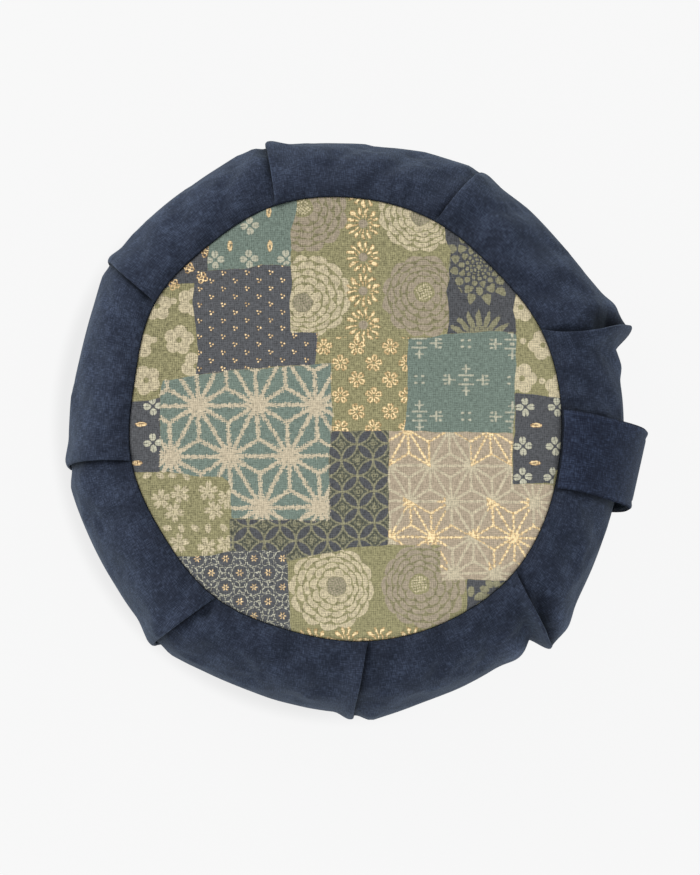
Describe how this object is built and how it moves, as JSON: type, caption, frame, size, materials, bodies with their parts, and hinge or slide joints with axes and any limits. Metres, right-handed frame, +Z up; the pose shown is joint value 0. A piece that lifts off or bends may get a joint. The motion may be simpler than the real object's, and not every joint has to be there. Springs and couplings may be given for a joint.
{
  "type": "zafu meditation cushion",
  "caption": "Round filled floor cushion with a knife-pleated dark band, a crowned printed top panel and a strap handle on its side.",
  "frame": {"origin": "centre of the flat base, under the middle of the top panel", "axes": "+Z up through the crown of the top panel, +X towards the handle strap (which lies 8 degrees to its -Y side), +Y towards the top of the picture"},
  "size_m": [0.3919, 0.3883, 0.148],
  "materials": {
    "band_cloth": "matt indigo linen-cotton weave with pale slubs",
    "printed_cloth": "matt plain-weave linen printed as a patchwork of olive, teal, charcoal and taupe patterns",
    "base_cloth": "matt indigo linen-cotton weave",
    "handle_cloth": "matt indigo linen-cotton weave, doubled"
  },
  "bodies": {
    "root": {"cushion_body": "band_cloth", "top_panel": "printed_cloth", "base_panel": "base_cloth", "handle_strap": "handle_cloth"}
  },
  "joints": []
}
